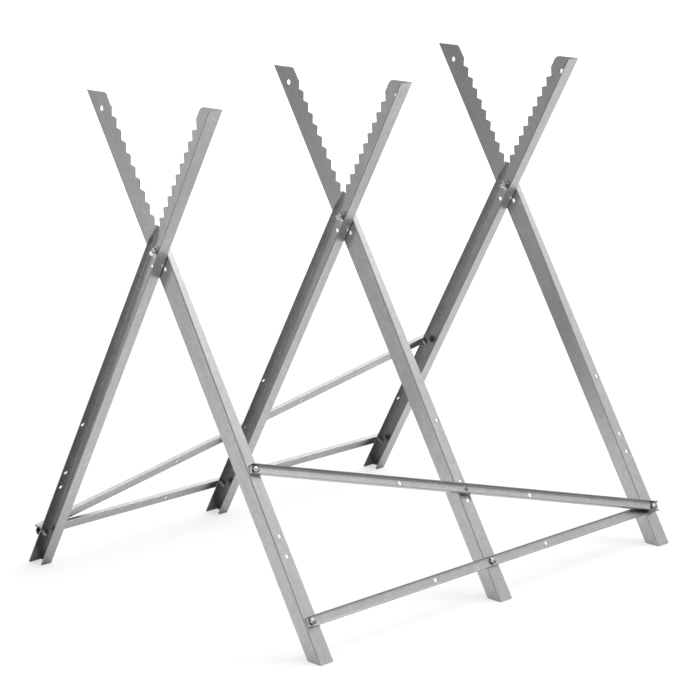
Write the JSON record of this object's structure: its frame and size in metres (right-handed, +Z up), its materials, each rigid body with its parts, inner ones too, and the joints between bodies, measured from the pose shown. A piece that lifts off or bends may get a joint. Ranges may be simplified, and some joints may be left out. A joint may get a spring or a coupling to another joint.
{
  "type": "log saw stand",
  "caption": "Folding log saw stand: crossed toothed sheet-steel channel legs on pivot bolts, tied along each side by a bolted rail and diagonal.",
  "frame": {"origin": "middle of the stand's plan on the ground that the feet stand on", "axes": "+X along the pivot line, +Y from the front feet to the rear feet, +Z up"},
  "size_m": [0.7904, 0.6768, 0.7798],
  "materials": {
    "galvanised_sheet": "satin galvanised with a fine grain",
    "zinc_fastener": "bright zinc plate"
  },
  "bodies": {
    "front_half": {"front_leg_left": "galvanised_sheet", "front_leg_middle": "galvanised_sheet", "front_leg_right": "galvanised_sheet", "front_rail": "galvanised_sheet", "front_diagonal": "galvanised_sheet", "pivot_bolt_left": "zinc_fastener", "pivot_bolt_middle": "zinc_fastener", "pivot_bolt_right": "zinc_fastener", "pivot_nut_left": "zinc_fastener", "pivot_nut_middle": "zinc_fastener", "pivot_nut_right": "zinc_fastener", "pivot_head_washer_left": "zinc_fastener", "pivot_head_washer_middle": "zinc_fastener", "pivot_head_washer_right": "zinc_fastener", "pivot_nut_washer_left": "zinc_fastener", "pivot_nut_washer_middle": "zinc_fastener", "pivot_nut_washer_right": "zinc_fastener", "front_rail_bolt_left": "zinc_fastener", "front_rail_bolt_middle": "zinc_fastener", "front_corner_bolt": "zinc_fastener", "front_diagonal_bolt": "zinc_fastener", "front_rail_nut_left": "zinc_fastener", "front_rail_nut_middle": "zinc_fastener", "front_corner_nut": "zinc_fastener", "front_diagonal_nut": "zinc_fastener"},
    "rear_half": {"rear_leg_left": "galvanised_sheet", "rear_leg_middle": "galvanised_sheet", "rear_leg_right": "galvanised_sheet", "rear_rail": "galvanised_sheet", "rear_diagonal": "galvanised_sheet", "rear_rail_bolt_right": "zinc_fastener", "rear_rail_bolt_middle": "zinc_fastener", "rear_corner_bolt": "zinc_fastener", "rear_diagonal_bolt": "zinc_fastener", "rear_rail_nut_right": "zinc_fastener", "rear_rail_nut_middle": "zinc_fastener", "rear_corner_nut": "zinc_fastener", "rear_diagonal_nut": "zinc_fastener"}
  },
  "joints": [
    {"name": "fold", "type": "hinge", "parent": "front_half", "child": "rear_half", "pos_m": [0, 0, 0.5545], "axis": [-1, 0, 0], "range_deg": [0, 60]}
  ]
}
